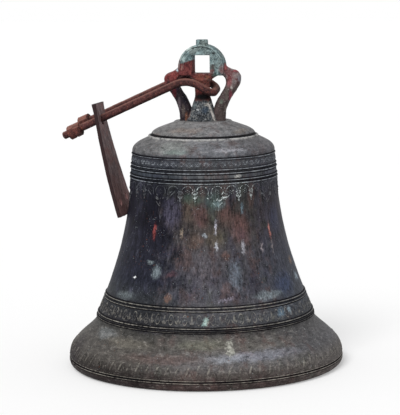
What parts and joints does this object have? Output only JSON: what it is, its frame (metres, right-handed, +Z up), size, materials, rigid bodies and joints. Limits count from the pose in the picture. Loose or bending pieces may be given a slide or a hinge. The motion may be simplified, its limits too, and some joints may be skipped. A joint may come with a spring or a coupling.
{
  "type": "church bell",
  "caption": "Cast bronze church bell with canon crown and leather-hung clapper; a loose threaded iron stirrup with hanger strap plates hangs from its crown.",
  "frame": {"origin": "centre of the bell's mouth, on the plane that the lip rests on", "axes": "+Z up along the bell's axis; the crown's plate and canons lie in the XZ plane; the stirrup hangs out towards -X; -Y is the front"},
  "size_m": [0.5606, 0.5498, 0.646],
  "materials": {
    "bronze": "dark oxidised bronze, satin, with worn paler edges",
    "crown_bronze": "crusted pale verdigris over dark bronze, matte",
    "canon_bronze": "dark bronze stained with red oxide, matte",
    "rusted_iron": "rusted wrought iron, matte",
    "strap_iron": "forged iron with scale and streaks, matte",
    "leather": "old dark harness leather, matte"
  },
  "bodies": {
    "bell": {"bell_body": "bronze", "crown_head": "crown_bronze", "left_canon": "canon_bronze", "right_canon": "canon_bronze", "clapper_staple": "rusted_iron"},
    "clapper": {"baldric_strap": "leather", "baldric_cheeks": "rusted_iron", "baldric_bolts": "rusted_iron", "baldric_nuts": "rusted_iron", "clapper": "rusted_iron"},
    "stirrup": {"stirrup_rod": "rusted_iron", "front_nut": "rusted_iron", "front_jam_nut": "rusted_iron", "back_nut": "rusted_iron", "back_washer": "rusted_iron"},
    "front_strap": {"front_strap": "strap_iron"},
    "back_strap": {"back_strap": "strap_iron"}
  },
  "joints": [
    {"name": "clapper_swing", "type": "hinge", "parent": "bell", "child": "clapper", "pos_m": [0, 0, 0.388], "axis": [1, 0, 0], "range_deg": [-30, 30]},
    {"name": "stirrup_swing", "type": "hinge", "parent": "bell", "child": "stirrup", "pos_m": [0.0247, 0.0042, 0.5445], "axis": [0.0523, 0.9986, 0], "range_deg": [0, 208]},
    {"name": "front_strap_swing", "type": "hinge", "parent": "stirrup", "child": "front_strap", "pos_m": [-0.20286, -0.02163, 0.49029], "axis": [-0.9109, 0.0477, -0.4099], "range_deg": [0, 75]},
    {"name": "back_strap_swing", "type": "hinge", "parent": "stirrup", "child": "back_strap", "pos_m": [-0.21975, 0.04067, 0.49117], "axis": [0.9109, -0.0477, 0.4099], "range_deg": [0, 60]}
  ]
}
